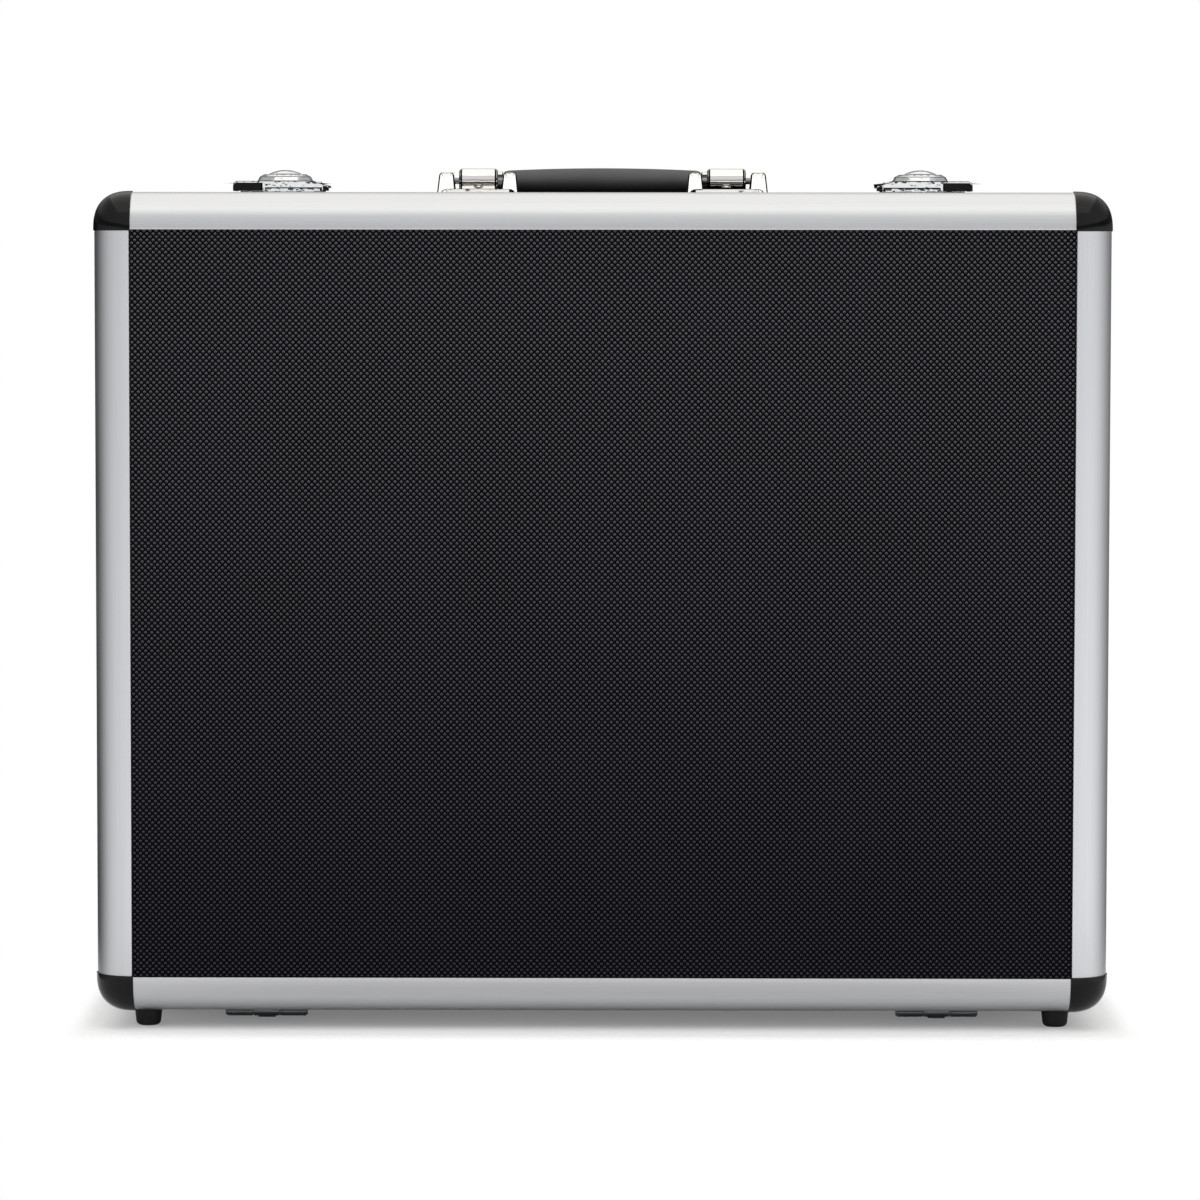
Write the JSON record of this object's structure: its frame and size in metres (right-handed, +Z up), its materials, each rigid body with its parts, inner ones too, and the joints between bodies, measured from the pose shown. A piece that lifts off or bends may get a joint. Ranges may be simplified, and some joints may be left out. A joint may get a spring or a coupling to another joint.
{
  "type": "flight case",
  "caption": "Upright aluminium-framed flight case with embossed black panels, ball corners, a hinged foam-lined lid, snap latches with locks and a folding handle.",
  "frame": {"origin": "centre of the case's outline on the surface that its feet stand on", "axes": "+X along the case's long side, -Y out of the lid's face, +Z up to the handle"},
  "size_m": [0.463, 0.161, 0.3936],
  "materials": {
    "anodised_aluminium": "satin anodised",
    "black_laminate": "embossed ABS laminate",
    "board": "raw fibreboard",
    "corner_plastic": "moulded gloss",
    "chrome": "bright chrome plate",
    "plated_steel": "zinc plate",
    "grip_plastic": "satin moulded",
    "foot_rubber": "matte",
    "foam": "open-cell foam"
  },
  "bodies": {
    "case_body": {"body_edge_profiles": "anodised_aluminium", "body_corner_profiles": "anodised_aluminium", "body_rim": "anodised_aluminium", "back_skin": "black_laminate", "body_side_skins": "black_laminate", "back_board": "board", "body_side_boards": "board", "body_corner_caps": "corner_plastic", "latch_left_base": "chrome", "latch_right_base": "chrome", "handle_left_base": "chrome", "handle_right_base": "chrome", "hinge_left_body_leaf": "plated_steel", "hinge_left_pin": "plated_steel", "hinge_right_body_leaf": "plated_steel", "hinge_right_pin": "plated_steel", "latch_left_pin": "plated_steel", "latch_left_spring": "plated_steel", "latch_right_pin": "plated_steel", "latch_right_spring": "plated_steel", "handle_left_pin": "plated_steel", "handle_right_pin": "plated_steel", "body_rivets": "plated_steel", "handle_rivets": "plated_steel", "body_foot_screws": "plated_steel", "body_feet": "foot_rubber", "foam_base": "foam", "foam_walls": "foam", "foam_dividers": "foam"},
    "lid": {"lid_edge_profiles": "anodised_aluminium", "lid_corner_profiles": "anodised_aluminium", "lid_rim": "anodised_aluminium", "lid_face_skin": "black_laminate", "lid_side_skins": "black_laminate", "lid_face_board": "board", "lid_side_boards": "board", "lid_corner_caps": "corner_plastic", "lid_feet": "foot_rubber", "lid_foot_screws": "plated_steel", "lid_rivets": "plated_steel", "lid_foam": "foam", "hinge_left_lid_leaf": "plated_steel", "hinge_right_lid_leaf": "plated_steel", "latch_left_catch": "chrome", "latch_right_catch": "chrome"},
    "handle": {"handle_left_arm": "chrome", "handle_right_arm": "chrome", "handle_core": "plated_steel", "handle_grip": "grip_plastic"},
    "left_lever": {"latch_left_lever": "chrome"},
    "left_lock": {"latch_left_plug": "chrome", "latch_left_cam": "plated_steel"},
    "right_lever": {"latch_right_lever": "chrome"},
    "right_lock": {"latch_right_plug": "chrome", "latch_right_cam": "plated_steel"}
  },
  "joints": [
    {"name": "lid_hinge", "type": "hinge", "parent": "case_body", "child": "lid", "pos_m": [0, -0.043, 0.004], "axis": [1, 0, 0], "range_deg": [0, 100]},
    {"name": "handle_fold", "type": "hinge", "parent": "case_body", "child": "handle", "pos_m": [0, 0.005, 0.3873], "axis": [1, 0, 0], "range_deg": [0, 175]},
    {"name": "left_latch", "type": "hinge", "parent": "case_body", "child": "left_lever", "pos_m": [-0.1468, -0.023, 0.385], "axis": [-1, 0, 0], "range_deg": [0, 80]},
    {"name": "left_lock_turn", "type": "hinge", "parent": "left_lever", "child": "left_lock", "pos_m": [-0.1454, -0.0391, 0.385], "axis": [0, 0, -1], "range_deg": [0, 90]},
    {"name": "right_latch", "type": "hinge", "parent": "case_body", "child": "right_lever", "pos_m": [0.1468, -0.023, 0.385], "axis": [-1, 0, 0], "range_deg": [0, 80]},
    {"name": "right_lock_turn", "type": "hinge", "parent": "right_lever", "child": "right_lock", "pos_m": [0.1454, -0.0391, 0.385], "axis": [0, 0, 1], "range_deg": [0, 90]}
  ]
}
